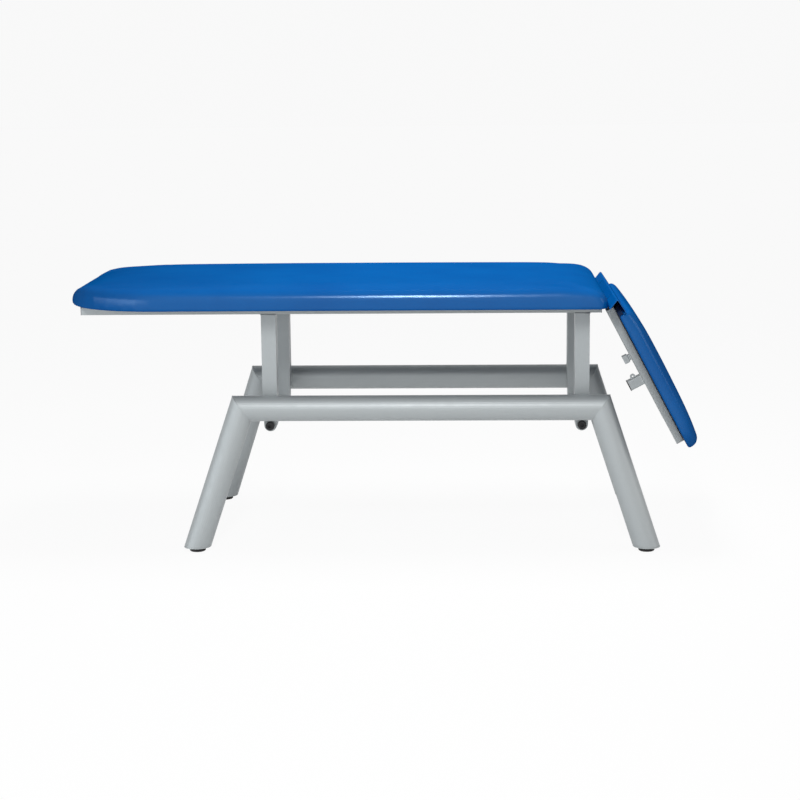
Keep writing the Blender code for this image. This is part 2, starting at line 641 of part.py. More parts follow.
def main_upholstery():
    underside = MAIN_TOP_OF_FRAME + CLEARANCE
    pad = cushion(MAIN_CUSHION_LENGTH, MAIN_CUSHION_THICKNESS - CLEARANCE,
                  CushionEnd(FOOT_CORNER_RADIUS, FOOT_CORNER_LENGTH, FOOT_FALL_REACH, FOOT_FALL_DROP,
                             FOOT_FALL_EVEN, FOOT_FALL_FADE, FOOT_BOW),
                  even_end(MAIN_HINGE_RADIUS, MAIN_HINGE_FALL_REACH, MAIN_HINGE_FALL_DROP))
    piece = place("main_cushion", pad, VINYL, table, (MAIN_CUSHION_START, 0, underside))

    def board(grow):
        return rounded_rectangle(BOARD_INSET - grow, MAIN_CUSHION_LENGTH - BOARD_INSET + grow,
                                 CUSHION_WIDTH / 2 - BOARD_INSET + grow,
                                 FOOT_CORNER_LENGTH - BOARD_INSET + grow, BOARD_CORNER + grow, steps=8)

    place("main_board", flat_solid(BOARD_THICKNESS, board(0)), BOARD, table,
          (MAIN_CUSHION_START, 0, underside + BOARD_THICKNESS / 2))
    recess = flat_solid(2 * (BOARD_THICKNESS + CLEARANCE), board(CLEARANCE))
    combine(piece, recess, "board_recess")
    return piece


def hinges():
    """Lugs on the main rails and arms on the head rails, with the pins that they turn on."""
    lug_low = MAIN_UNDERSIDE + HINGE_TAB_MARGIN - HINGE_Z
    lug_high = MAIN_TOP_OF_FRAME - HINGE_TAB_MARGIN - HINGE_Z
    lug_end = -MAIN_RAIL_SETBACK - HINGE_TAB_LENGTH
    lug_corners = ((HINGE_TAB_MARGIN - MAIN_CUSHION_SETBACK, lug_high), (lug_end, lug_high),
                   (lug_end, lug_low), (-MAIN_RAIL_SETBACK, lug_low))
    arm_low = HINGE_TAB_MARGIN - HINGE_RISE
    arm_high = FRAME_HEIGHT - HINGE_TAB_MARGIN - HINGE_RISE
    arm_end = HEAD_RAIL_SETBACK + HINGE_TAB_LENGTH
    arm_corners = ((HEAD_RAIL_SETBACK, arm_low), (arm_end, arm_low), (arm_end, arm_high),
                   (HEAD_RAIL_SETBACK + HINGE_TAB_MARGIN, arm_high))
    hole = circle(HINGE_PIN_DIAMETER / 2 + CLEARANCE)
    lug_outline, arm_outline = eye_outline(lug_corners), eye_outline(arm_corners)

    # The stop pin stands against the arm's lower edge, between its corner and the eye.
    corner, touch = Vector(arm_corners[0]), Vector(arm_outline[-1])
    off_edge = touch.normalized() * (STOP_PIN_DIAMETER / 2 + CLEARANCE)
    stop_x, stop_z = dropped(*(touch.lerp(corner, STOP_PIN_PLACE) + off_edge))
    stop_root = LUG_THICKNESS / 2 - STOP_PIN_ROOT
    stop_tip = LUG_THICKNESS / 2 + LUG_INNER_Y - ARM_INNER_Y

    for side, y_sign in SIDES.items():
        lug = place(f"hinge_lug_{side}", flat_solid(LUG_THICKNESS, lug_outline, hole), BLACK_STEEL, table,
                    (HINGE_X, y_sign * (LUG_OUTER_Y + LUG_INNER_Y) / 2, HINGE_Z), upright)
        low, high = sorted((y_sign * stop_root, y_sign * stop_tip))
        stop = prism(STOP_PIN_DIAMETER / 2, low, high, SMALL_ROUND_SIDES)
        combine(lug, stop, "stop_pin", "UNION", (stop_x, stop_z, 0))
        place(f"hinge_arm_{side}", flat_solid(ARM_THICKNESS, arm_outline, hole), BLACK_STEEL, head,
              (0, y_sign * (ARM_OUTER_Y + ARM_INNER_Y) / 2, 0), upright)
        hinge_pin(side, y_sign)


def hinge_pin(side, y_sign):
    """Headed pin, the washer between lug and arm, and the clip that holds the pin."""
    outward = (-y_sign * pi / 2, 0, 0)
    shank, head_radius = HINGE_PIN_DIAMETER / 2, HINGE_PIN_HEAD_DIAMETER / 2
    head_seat = LUG_OUTER_Y + CLEARANCE
    length = head_seat - PIN_INNER_Y
    profile = [(0, HINGE_PIN_HEAD_HEIGHT), (head_radius - HINGE_PIN_CHAMFER, HINGE_PIN_HEAD_HEIGHT),
               (head_radius, HINGE_PIN_HEAD_HEIGHT - HINGE_PIN_CHAMFER), (head_radius, 0), (shank, 0),
               (shank, HINGE_PIN_CHAMFER - length), (shank - HINGE_PIN_CHAMFER, -length), (0, -length)]
    place_turned(f"hinge_pin_{side}", turned(profile, SMALL_ROUND_SIDES), ZINC, table,
                 (HINGE_X, y_sign * head_seat, HINGE_Z), outward)
    hole = shank + CLEARANCE
    for name, radius, thickness, y in (
            ("washer", EYE_RADIUS, HINGE_WASHER_THICKNESS, WASHER_OUTER_Y),
            ("clip", HINGE_CLIP_DIAMETER / 2, HINGE_CLIP_THICKNESS, CLIP_OUTER_Y)):
        ring = [(radius, 0), (radius, -thickness), (hole, -thickness), (hole, 0)]
        place_turned(f"hinge_{name}_{side}", turned(ring, SMALL_ROUND_SIDES, closed=True), ZINC, table,
                     (HINGE_X, y_sign * y, HINGE_Z), outward)


def head_frame():
    """Two rails, plugged at the free end, and two cross tubes, in the frame of the hinge axis."""
    start, end = HEAD_RAIL_SETBACK, HEAD_CUSHION_SETBACK + HEAD_CUSHION_LENGTH - HEAD_RAIL_INSET
    tube_end = end - PLUG_FLANGE - CLEARANCE
    for side, y_sign in SIDES.items():
        place(f"head_rail_{side}", frame_tube(tube_end - start), SILVER, head,
              ((start + tube_end) / 2, y_sign * HEAD_RAIL_Y, HEAD_FRAME_Z), along_x)
        plug = tube_plug(FRAME_WIDTH, FRAME_HEIGHT, FRAME_WALL, PLUG_FLANGE, PLUG_INSERT)
        place(f"head_rail_plug_{side}", plug, GREY_PLASTIC, head,
              (end - PLUG_FLANGE, y_sign * HEAD_RAIL_Y, HEAD_FRAME_Z), along_x)
    between_rails = 2 * (HEAD_RAIL_INNER_Y - CLEARANCE)
    for name, x in (("inner", HEAD_CROSS_INNER), ("outer", end - HEAD_CROSS_OUTER_INSET)):
        place(f"head_cross_{name}", frame_tube(between_rails), SILVER, head, (x, 0, HEAD_FRAME_Z), across)


def head_upholstery():
    """Board and pad; the pad's hinge end is rebated, so that it lies over the ledge of the gap strip."""
    pad = cushion(HEAD_CUSHION_LENGTH, HEAD_CUSHION_THICKNESS - CLEARANCE,
                  even_end(HEAD_HINGE_RADIUS, HEAD_HINGE_FALL_REACH, HEAD_HINGE_FALL_DROP),
                  even_end(HEAD_END_RADIUS, HEAD_END_FALL_REACH, HEAD_END_FALL_DROP))
    piece = place("head_cushion", pad, VINYL, head, (HEAD_CUSHION_SETBACK, 0, HEAD_BOARD_Z))

    def board(start, grow):
        return rounded_rectangle(start, HEAD_CUSHION_LENGTH - BOARD_INSET + grow,
                                 CUSHION_WIDTH / 2 - BOARD_INSET + grow, BOARD_CORNER,
                                 HEAD_END_RADIUS - BOARD_INSET + grow, steps=8)

    board_start = HEAD_BOARD_SETBACK - HEAD_CUSHION_SETBACK
    place("head_board", flat_solid(BOARD_THICKNESS, board(board_start, 0)), BOARD, head,
          (HEAD_CUSHION_SETBACK, 0, HEAD_BOARD_Z + BOARD_THICKNESS / 2))
    past_hinge_end = board_start - BOARD_CORNER - OVERRUN
    recess = flat_solid(2 * (BOARD_THICKNESS + CLEARANCE), board(past_hinge_end, CLEARANCE))
    combine(piece, recess, "board_recess")

    depth = STRIP_REACH + CLEARANCE - HEAD_CUSHION_SETBACK
    height = STRIP_BACK_Z + CLEARANCE - HEAD_BOARD_Z
    rebate = block((depth + OVERRUN, CUSHION_WIDTH + OVERRUN, height + OVERRUN),
                   ((depth - OVERRUN) / 2, 0, (height - OVERRUN) / 2))
    combine(piece, rebate, "strip_rebate")
    return piece


def gap_strip():
    """Folded strip over the hinge gap: a front face, a ledge and a leg that stands on the head board."""
    foot = HEAD_BOARD_Z + BOARD_THICKNESS + CLEARANCE
    corners = [STRIP_LOW, STRIP_TOP, (STRIP_REACH, STRIP_BACK_Z), (STRIP_REACH, foot)]
    line = filleted(corners, STRIP_FOLD_RADIUS)
    strip = place("gap_strip", folded_sheet(line, CUSHION_WIDTH), VINYL, head)
    thicken = strip.modifiers.new("thicken", "SOLIDIFY")
    thicken.thickness = STRIP_THICKNESS
    thicken.offset = 1
    thicken.use_even_offset = True

    # Slits let the lugs through as the head section rises; pockets clear the pins from behind.
    slit_width = LUG_THICKNESS + 2 * STRIP_SLIT_MARGIN
    slit_top = EYE_RADIUS + CLEARANCE
    slit_height = slit_top - STRIP_LOW[1] + OVERRUN
    pocket_low = PIN_INNER_Y - STRIP_SLIT_MARGIN
    pocket_high = LUG_OUTER_Y + CLEARANCE + HINGE_PIN_HEAD_HEIGHT + STRIP_SLIT_MARGIN
    for side, y_sign in SIDES.items():
        lug_y = y_sign * (LUG_OUTER_Y + LUG_INNER_Y) / 2
        slit = block((2 * OVERRUN, slit_width, slit_height), (0, lug_y, slit_top - slit_height / 2))
        combine(strip, slit, f"slit_{side}")
        low, high = sorted((y_sign * pocket_low, y_sign * pocket_high))
        pocket = prism(EYE_RADIUS + STRIP_POCKET_MARGIN, low, high, SMALL_ROUND_SIDES)
        combine(strip, pocket, f"pocket_{side}", rotation=(-pi / 2, 0, 0))


def underside_fittings():
    """Flat bar under the near head rail, with a guide block and a capped stub that has a drilled ear."""
    bar_z = -HINGE_RISE - CLEARANCE - BAR_THICKNESS
    y = -HEAD_RAIL_Y
    place("underside_bar", block((BAR_LENGTH, BAR_WIDTH, BAR_THICKNESS)), SILVER, head,
          (HEAD_RAIL_SETBACK + BAR_LENGTH / 2, y, bar_z + BAR_THICKNESS / 2))
    necked = tube_plug(GUIDE_LENGTH, GUIDE_WIDTH, GUIDE_NECK_INSET - CLEARANCE, GUIDE_HEIGHT, GUIDE_NECK)
    guide = place("guide_block", necked, SILVER, head,
                  (HEAD_RAIL_SETBACK + GUIDE_PLACE, y, bar_z - CLEARANCE - GUIDE_NECK), (pi, 0, 0))
    rounding = guide.modifiers.new("rounding", "BEVEL")
    rounding.width = GUIDE_ROUNDING
    rounding.segments = 2
    rounding.limit_method = "ANGLE"

    stub_x = HEAD_RAIL_SETBACK + BAR_LENGTH - STUB_SIDE / 2
    stub_top = bar_z - CLEARANCE
    half, hollow = STUB_SIDE / 2, STUB_SIDE / 2 - STUB_WALL
    hollow_corner = STUB_CORNER - STUB_WALL
    outer = rounded_rectangle(-half, half, half, STUB_CORNER, STUB_CORNER)
    inner = rounded_rectangle(-hollow, hollow, hollow, hollow_corner, hollow_corner, steps=2)
    stub = place("stub_tube", flat_solid(STUB_LENGTH, outer, inner), SILVER, head,
                 (stub_x, y, stub_top - STUB_LENGTH / 2))
    ear_root = EAR_REACH + STUB_WALL / 2
    ear = arc((0, 0), EAR_RADIUS, pi / 2, 1.5 * pi, 14) + [(ear_root, -EAR_RADIUS), (ear_root, EAR_RADIUS)]
    combine(stub, flat_solid(EAR_THICKNESS, ear, circle(EAR_HOLE_DIAMETER / 2)), "ear", "UNION",
            (-half - EAR_REACH, 0, STUB_LENGTH / 2 - EAR_DROP), upright)
    cap = tube_plug(STUB_SIDE, STUB_SIDE, STUB_WALL, STUB_CAP_FLANGE, STUB_CAP_INSERT)
    place("stub_cap", cap, BLACK_PLASTIC, head,
          (stub_x, y, stub_top - STUB_LENGTH - CLEARANCE), (pi, 0, 0))


side_frames()
posts()
main_frame()
main_pad = main_upholstery()
hinges()
head_frame()
head_pad = head_upholstery()
gap_strip()
underside_fittings()

# The origin goes under the middle of the model's box, which the two cushions bound along X.
bpy.context.view_layer.update()
pads = (main_pad, head_pad)
reach = [(pad.matrix_world @ vertex.co).x for pad in pads for vertex in pad.data.vertices]
table.location.x = -(min(reach) + max(reach)) / 2
bpy.context.view_layer.update()
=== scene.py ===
"""Looks of the treatment table: materials, upholstery, welds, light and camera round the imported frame."""

import json
from math import atan2, cos, hypot, radians, sin

import bmesh
import bpy
import numpy as np
from mathutils import Matrix, Vector


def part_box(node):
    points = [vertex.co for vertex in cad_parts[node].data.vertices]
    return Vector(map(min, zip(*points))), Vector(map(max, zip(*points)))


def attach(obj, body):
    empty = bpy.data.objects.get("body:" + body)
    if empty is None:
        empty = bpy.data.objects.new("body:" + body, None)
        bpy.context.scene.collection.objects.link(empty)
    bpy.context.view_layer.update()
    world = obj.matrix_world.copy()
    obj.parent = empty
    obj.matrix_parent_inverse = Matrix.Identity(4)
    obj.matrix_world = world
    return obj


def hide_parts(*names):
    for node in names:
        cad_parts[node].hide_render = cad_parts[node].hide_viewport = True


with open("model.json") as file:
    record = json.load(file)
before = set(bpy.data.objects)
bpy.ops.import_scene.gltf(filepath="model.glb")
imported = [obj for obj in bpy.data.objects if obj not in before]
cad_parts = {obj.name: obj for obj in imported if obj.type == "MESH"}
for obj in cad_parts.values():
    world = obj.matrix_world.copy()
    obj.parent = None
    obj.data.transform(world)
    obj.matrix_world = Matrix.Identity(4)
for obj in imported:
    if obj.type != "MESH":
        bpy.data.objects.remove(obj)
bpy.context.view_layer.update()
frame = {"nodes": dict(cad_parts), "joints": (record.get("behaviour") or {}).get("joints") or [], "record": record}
scene = bpy.context.scene

# Values that the part's source also uses, in metres and radians
HINGE = Vector(frame["joints"][0]["pos_m"])
HEAD_DROP = radians(62.1)
LEVEL_HEAD = Matrix.Translation(HINGE) @ Matrix.Rotation(HEAD_DROP, 4, "Y") @ Matrix.Translation(-HINGE)

# Upholstery
PAD_VOXEL = {"main": 0.008, "head": 0.006}
PAD_SMOOTHING = 6           # rounds, after the remesh
PAD_SOFTENING = 7           # rounds, above the held edge, after the swelling
PAD_LOWERED = 0.002         # the pads start this much lower, and swell
PAD_CAP = 0.004             # no point of a pad moves further than this
PAD_PRESSURE = 4.0
PAD_FRAMES = 20             # length of the simulation
PAD_STEPS = 4               # per frame
VINYL_STIFFNESS = 2000.0    # of the taut cover, along its threads
VINYL_SHEAR = VINYL_STIFFNESS / 3
VINYL_BENDING = 20.0
HELD_HEIGHT = 0.014         # the pads are held up to here by the board
COVER_ROUNDING = 0.0005     # at the edges of the covered strip
COVER_SEGMENTS = 3
COVER_EDGE = radians(40)    # edges sharper than this are turned over
SAME_POINT = 1e-6           # points nearer than this are one
SAME_FACE = radians(1)      # faces that meet at less than this are one

# Welds
MITRE_BEAD = 0.0012         # radius
MITRE_BEAD_SUNK = 0.0007    # how far the bead's middle lies under the tube's surface
POST_BEAD = 0.0016
BEAD_RESOLUTION = 3

# Surfaces
NOISE_LOW = 0.3             # most values of a noise texture lie between these
NOISE_HIGH = 0.7
GLOSS_FALL = 5.0            # how steeply the vinyl's gloss falls towards a grazing view
PLASTIC_GRAIN = 900.0       # cells per metre
SHARP_EDGE = radians(35)    # edges of the CAD pieces that are shaded sharp

# Camera, from matching the side frames with the photograph
CAMERA_PLACE = (HINGE.x - 0.3932, -5.2723, 1.3368)
CAMERA_YAW = radians(-2.095)
CAMERA_PITCH = radians(10.477)
CAMERA_ROLL = radians(0.583)
CAMERA_LENS = 84.33         # millimetres, as the sensor's width
CAMERA_SENSOR = 36.0
CAMERA_REACH = 100.0

# Backdrop
FLOOR_SIZE = 60.0
FLOOR_BELOW = 0.0005        # the floor lies this much under the feet
FLOOR_GREY = 0.86
FLOOR_ROUGHNESS = 0.9
FLOOR_FILL = 0.94           # share of plain white in what the camera and reflections see of the floor
FAR_FLOOR_WHITE = 0.944     # how the floor looks where the lamps hardly reach it
WORLD_COLOUR = (0.92, 0.95, 1.0, 1)
WORLD_STRENGTH = 0.05       # of the soft light from all round

# Lamps
WHITE = (1, 1, 1)
COOL = (0.93, 0.97, 1.0)
WARM = (1.0, 0.98, 0.95)
# Name, place, what it points at, size, power, colour and whether reflections show it
LAMPS = (
    ("top_softbox", (0.12, 0.1, 2.4), (0.12, 0.1, 0), (0.9, 0.9), 42, WHITE, False),
    ("middle_softbox", (0.0, -3.2, 2.5), (0.0, 0, 0.7), (0.25, 1.0), 60, WHITE, True),
    ("front_softbox", (0.0, -4.2, 1.2), (0, 0, 0.3), (3.0, 1.2), 18, WHITE, False),
    ("left_softbox", (-3.2, -2.3, 0.85), (-0.4, 0, 0.6), (4.2, 0.9), 42, COOL, True),
    ("right_softbox", (3.4, -1.2, 2.0), (0.4, 0, 0.4), (1.6, 1.6), 24, WARM, True),
)


# Materials

class Surface:
    """A Principled material under construction, with helpers for its texture nodes."""

    def __init__(self, name, roughness, metallic=0.0, **sockets):
        self.material = bpy.data.materials.new(name)
        self.material.use_nodes = True
        self.nodes = self.material.node_tree.nodes
        self.links = self.material.node_tree.links
        self.shader = self.nodes["Principled BSDF"]
        self.shader.inputs["Roughness"].default_value = roughness
        self.shader.inputs["Metallic"].default_value = metallic
        for socket, value in sockets.items():
            self.shader.inputs[socket.replace("_", " ")].default_value = value
        self.place = self.nodes.new("ShaderNodeTexCoord").outputs["Object"]
        self.normal = None

    def stretched(self, scale):
        node = self.nodes.new("ShaderNodeMapping")
        node.inputs["Scale"].default_value = scale
        self.links.new(self.place, node.inputs["Vector"])
        return node.outputs["Vector"]

    def noise(self, scale, detail=3.0, rough=0.5, vector=None):
        node = self.nodes.new("ShaderNodeTexNoise")
        node.inputs["Scale"].default_value = scale
        node.inputs["Detail"].default_value = detail
        node.inputs["Roughness"].default_value = rough
        self.links.new(vector or self.place, node.inputs["Vector"])
        return node.outputs["Fac"]

    def cells(self, scale):
        node = self.nodes.new("ShaderNodeTexVoronoi")
        node.inputs["Scale"].default_value = scale
        self.links.new(self.place, node.inputs["Vector"])
        return node.outputs["Distance"]

    def spread(self, value, low, high, out_low, out_high):
        node = self.nodes.new("ShaderNodeMapRange")
        node.inputs["From Min"].default_value = low
        node.inputs["From Max"].default_value = high
        node.inputs["To Min"].default_value = out_low
        node.inputs["To Max"].default_value = out_high
        self.links.new(value, node.inputs["Value"])
        return node.outputs["Result"]

    def colour(self, value, first, second):
        node = self.nodes.new("ShaderNodeValToRGB")
        node.color_ramp.elements[0].position = NOISE_LOW
        node.color_ramp.elements[0].color = (*first, 1)
        node.color_ramp.elements[1].position = NOISE_HIGH
        node.color_ramp.elements[1].color = (*second, 1)
        self.links.new(value, node.inputs["Fac"])
        self.links.new(node.outputs["Color"], self.shader.inputs["Base Color"])

    def roughness(self, value, low, high):
        varied = self.spread(value, NOISE_LOW, NOISE_HIGH, low, high)
        self.links.new(varied, self.shader.inputs["Roughness"])

    def gloss(self, level):
        """Gloss that fades towards a grazing view, where the grain hides it."""
        view = self.nodes.new("ShaderNodeLayerWeight")
        fading = self.nodes.new("ShaderNodeMath")
        fading.operation = "POWER"
        fading.inputs[1].default_value = GLOSS_FALL
        self.links.new(self.spread(view.outputs["Facing"], 0.0, 1.0, 1.0, 0.0), fading.inputs[0])
        glossy = self.spread(fading.outputs[0], 0.0, 1.0, 0.0, level)
        self.links.new(glossy, self.shader.inputs["Specular IOR Level"])

    def bump(self, value, strength, distance):
        node = self.nodes.new("ShaderNodeBump")
        node.inputs["Strength"].default_value = strength
        node.inputs["Distance"].default_value = distance
        self.links.new(value, node.inputs["Height"])
        if self.normal:
            self.links.new(self.normal, node.inputs["Normal"])
        self.normal = node.outputs["Normal"]
        self.links.new(self.normal, self.shader.inputs["Normal"])


def vinyl():
    """Blue upholstery vinyl: fine pebbled grain, slow change of shade, stretch lines along the table."""
    made = Surface("blue_vinyl_cover", 0.16, Specular_Tint=(0.50, 0.74, 1.0, 1))
    made.colour(made.noise(5.0, 4.0), (0.0006, 0.073, 0.276), (0.0009, 0.087, 0.310))
    made.roughness(made.noise(60.0, 4.0), 0.16, 0.21)
    made.gloss(0.6)
    made.bump(made.noise(900.0, 2.0), 0.10, 0.0004)
    made.bump(made.noise(240.0, 4.0), 0.025, 0.0006)
    made.bump(made.noise(5.0, 2.0, vector=made.stretched((1.0, 6.0, 14.0))), 0.04, 0.004)
    return made.material


def silver():
    """Silver powder coat: fine flake, a little orange peel."""
    made = Surface("silver_powder_coat", 0.48, 0.3)
    made.colour(made.noise(1400.0, 2.0), (0.350, 0.378, 0.387), (0.420, 0.448, 0.457))
    made.roughness(made.noise(35.0, 4.0), 0.44, 0.52)
    made.bump(made.noise(700.0, 2.0), 0.10, 0.0003)
    made.bump(made.noise(120.0, 2.0), 0.04, 0.0008)
    return made.material


def zinc():
    made = Surface("zinc_plate", 0.34, 1.0)
    made.colour(made.noise(180.0, 5.0), (0.50, 0.50, 0.47), (0.66, 0.66, 0.63))
    made.roughness(made.noise(300.0, 4.0), 0.26, 0.44)
    made.bump(made.noise(600.0, 3.0), 0.10, 0.0002)
    return made.material


def black_steel():
    made = Surface("black_oxide_steel", 0.4, 0.5)
    made.colour(made.noise(120.0, 4.0), (0.012, 0.012, 0.013), (0.030, 0.030, 0.032))
    made.roughness(made.noise(200.0, 4.0), 0.32, 0.5)
    made.bump(made.noise(500.0, 3.0), 0.12, 0.0002)
    return made.material


def plastic(name, dark, light):
    made = Surface(name, 0.55)
    made.colour(made.noise(40.0, 4.0), dark, light)
    made.roughness(made.noise(90.0, 4.0), 0.45, 0.62)
    made.bump(made.cells(PLASTIC_GRAIN), 0.18, 0.0003)
    return made.material


def rubber():
    made = Surface("foot_rubber", 0.8)
    made.colour(made.noise(70.0, 5.0), (0.010, 0.010, 0.011), (0.030, 0.029, 0.028))
    made.roughness(made.noise(160.0, 4.0), 0.68, 0.9)
    made.bump(made.noise(900.0, 4.0), 0.25, 0.0004)
    return made.material


def lining_and_painted_shade():
    """Felted lining stretched over the boards, nearly black, with a navy tint that is painted shade: it stands in
    for blue vinyl lying in deep shade in the recess by the hinge.
    """
    made = Surface("board_lining", 0.9, Specular_IOR_Level=0.15)
    # Near-black lining; its navy part is painted shade of the blue vinyl in the hinge recess
    made.colour(made.noise(350.0, 6.0, 0.7), (0.005, 0.014, 0.045), (0.012, 0.028, 0.080))
    made.roughness(made.noise(80.0, 3.0), 0.82, 0.95)
    made.bump(made.noise(700.0, 6.0, 0.7, made.stretched((1.0, 3.0, 1.0))), 0.35, 0.0006)
    made.bump(made.noise(12.0, 2.0), 0.15, 0.002)
    return made.material


looks = {
    "silver_powder_coat": silver(),
    "zinc_plated_steel": zinc(),
    "black_steel": black_steel(),
    "grey_plastic": plastic("grey_plug_plastic", (0.28, 0.29, 0.30), (0.38, 0.39, 0.40)),
    "black_plastic": plastic("black_cap_plastic", (0.010, 0.010, 0.011), (0.024, 0.024, 0.026)),
    "black_rubber": rubber(),
    "blue_vinyl": vinyl(),
    "black_lined_board": lining_and_painted_shade(),
}
slot_of = {row["node"]: row["material_slot"] for row in frame["record"]["subparts"]}
for name, node in frame["nodes"].items():
    node.data.materials.clear()
    node.data.materials.append(looks[slot_of[name]])
    node.data.shade_smooth()
    node.data.set_sharp_from_angle(angle=SHARP_EDGE)


# Pieces

def points_of(mesh):
    flat = np.empty(len(mesh.vertices) * 3, np.float32)
    mesh.vertices.foreach_get("co", flat)
    return flat.reshape(-1, 3).astype(float)


def apply_modifiers(piece):
    bpy.context.view_layer.update()
    depsgraph = bpy.context.evaluated_depsgraph_get()
    made = bpy.data.meshes.new_from_object(piece.evaluated_get(depsgraph))
    piece.modifiers.clear()
    old = piece.data
    piece.data = made
    bpy.data.meshes.remove(old)


def add_piece(name, data, slot, body, matrix=Matrix.Identity(4)):
    """Put a mesh or a curve in the scene with the look of a slot, riding on a body."""
    piece = bpy.data.objects.new(name, data)
    scene.collection.objects.link(piece)
    data.materials.clear()
    data.materials.append(looks[slot])
    piece.matrix_world = matrix
    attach(piece, body)
    return piece


def shape_of(node, level):
    """Copy of a CAD node's shape, in the frame in which it lies level."""
    shape = bmesh.new()
    shape.from_mesh(frame["nodes"][node].data)
    bmesh.ops.transform(shape, matrix=level.inverted(), verts=shape.verts)
    return shape


def mesh_from(shape, name):
    mesh = bpy.data.meshes.new(name)
    shape.to_mesh(mesh)
    shape.free()
    return mesh


# Upholstery

def soft_pad(section, body, level):
    """Cover a CAD pad: a remeshed copy of it, swollen as cloth."""
    node = f"{section}_cushion"
    pad = bpy.data.objects.new(f"{section}_pad", mesh_from(shape_of(node, level), f"{section}_pad"))
    scene.collection.objects.link(pad)
    pad.matrix_world = level
    remesh = pad.modifiers.new("remesh", "REMESH")
    remesh.mode = "VOXEL"
    remesh.voxel_size = PAD_VOXEL[section]
    smooth = pad.modifiers.new("smooth", "SMOOTH")
    smooth.iterations = PAD_SMOOTHING
    fit = pad.modifiers.new("fit", "SHRINKWRAP")
    fit.target = frame["nodes"][node]
    fit.wrap_method = "NEAREST_SURFACEPOINT"
    apply_modifiers(pad)
    inflate(pad)
    hold_lower_edge(pad)
    soft = pad.modifiers.new("soft", "SMOOTH")
    soft.iterations = PAD_SOFTENING
    soft.vertex_group = "held"
    soft.invert_vertex_group = True
    finer = pad.modifiers.new("finer", "SUBSURF")
    finer.levels = 1
    finer.render_levels = 1
    apply_modifiers(pad)
    pad.vertex_groups.clear()
    pad.data.shade_smooth()
    pad.data.materials.clear()
    pad.data.materials.append(looks["blue_vinyl"])
    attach(pad, body)
    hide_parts(node)


def hold_lower_edge(pad):
    """Group the points of a pad that the board holds in place."""
    heights = points_of(pad.data)[:, 2]
    held = pad.vertex_groups.new(name="held")
    held.add(np.nonzero(heights < heights.min() + HELD_HEIGHT)[0].tolist(), 1.0, "REPLACE")


def inflate(pad):
    """Swell a pad as taut cloth from a slightly lower start, and keep each point near its place."""
    start = points_of(pad.data)
    facing_up = np.array([max(vertex.normal.z, 0) for vertex in pad.data.vertices])
    lowered = start - np.outer(facing_up, (0, 0, PAD_LOWERED))
    pad.data.vertices.foreach_set("co", lowered.astype(np.float32).ravel())
    pad.data.update()
    hold_lower_edge(pad)
    cloth = pad.modifiers.new("cloth", "CLOTH")
    cloth.settings.quality = PAD_STEPS
    cloth.settings.use_pressure = True
    cloth.settings.uniform_pressure_force = PAD_PRESSURE
    cloth.settings.vertex_group_mass = "held"
    cloth.settings.tension_stiffness = VINYL_STIFFNESS
    cloth.settings.compression_stiffness = VINYL_STIFFNESS
    cloth.settings.shear_stiffness = VINYL_SHEAR
    cloth.settings.bending_stiffness = VINYL_BENDING
    cloth.settings.effector_weights.gravity = 0.0
    cloth.collision_settings.use_collision = False
    for number in range(1, PAD_FRAMES + 1):
        scene.frame_set(number)
    apply_modifiers(pad)
    scene.frame_set(1)
    moved = points_of(pad.data) - start
    share = min(1.0, PAD_CAP / np.linalg.norm(moved, axis=1).max())
    pad.data.vertices.foreach_set("co", (start + moved * share).astype(np.float32).ravel())
    pad.data.update()
    pad.vertex_groups.clear()


def strip_cover():
    """Vinyl over the folded strip, with its edges turned over."""
    shape = shape_of("gap_strip", LEVEL_HEAD)
    bmesh.ops.remove_doubles(shape, verts=shape.verts, dist=SAME_POINT)
    bmesh.ops.dissolve_limit(shape, angle_limit=SAME_FACE, verts=shape.verts, edges=shape.edges)
    mesh = mesh_from(shape, "strip_cover")
    cover = add_piece("strip_cover", mesh, "blue_vinyl", "head_section", LEVEL_HEAD)
    turned_over = cover.modifiers.new("turned_over", "BEVEL")
    turned_over.width = COVER_ROUNDING
    turned_over.segments = COVER_SEGMENTS
    turned_over.limit_method = "ANGLE"
    turned_over.angle_limit = COVER_EDGE
    cover.data.shade_smooth()
    cover.data.set_sharp_from_angle(angle=COVER_EDGE)
    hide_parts("gap_strip")


sections = (("main", "table", Matrix.Identity(4)), ("head", "head_section", LEVEL_HEAD))
for section, body, level in sections:
    soft_pad(section, body, level)
strip_cover()


# Welds

def bead(name, runs, radius):
    """Round weld beads along closed runs of points."""
    curve = bpy.data.curves.new(name, "CURVE")
    curve.dimensions = "3D"
    curve.bevel_depth = radius
    curve.bevel_resolution = BEAD_RESOLUTION
    for points in runs:
        spline = curve.splines.new("POLY")
        spline.points.add(len(points) - 1)
        spline.use_cyclic_u = True
        for target, point in zip(spline.points, points):
            target.co = (*point, 1)
    add_piece(name, curve, "silver_powder_coat", "table")


def mitre_rims(side):
    """Rims of a side rail's two mitred ends, pulled a little way in from the tube's surface."""
    points = [vertex.co for vertex in frame["nodes"][f"side_rail_{side}"].data.vertices]
    low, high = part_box(f"side_rail_{side}")
    middle = (low + high) / 2
    radius = (high.z - low.z) / 2
    rims = []
    for end in (-1, 1):
        rim = {}    # by angle round the tube
        for point in points:
            offset = point - middle
            if offset.x * end > 0 and hypot(offset.y, offset.z) > radius - MITRE_BEAD:
                rim[round(atan2(offset.z, offset.y), 3)] = offset
        share = 1 - MITRE_BEAD_SUNK / radius
        pulled_in = Vector((1, share, share))
        rims.append([middle + rim[angle] * pulled_in for angle in sorted(rim)])
    return rims


def post_top(end, side):
    low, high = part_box(f"post_{end}_{side}")
    return [Vector((x, y, high.z - POST_BEAD / 2))
            for x, y in ((low.x, low.y), (high.x, low.y), (high.x, high.y), (low.x, high.y))]


for side in ("near", "far"):
    bead(f"mitre_welds_{side}", mitre_rims(side), MITRE_BEAD)
    bead(f"post_welds_{side}", [post_top(end, side) for end in ("foot", "head")], POST_BEAD)


# Floor, light and camera

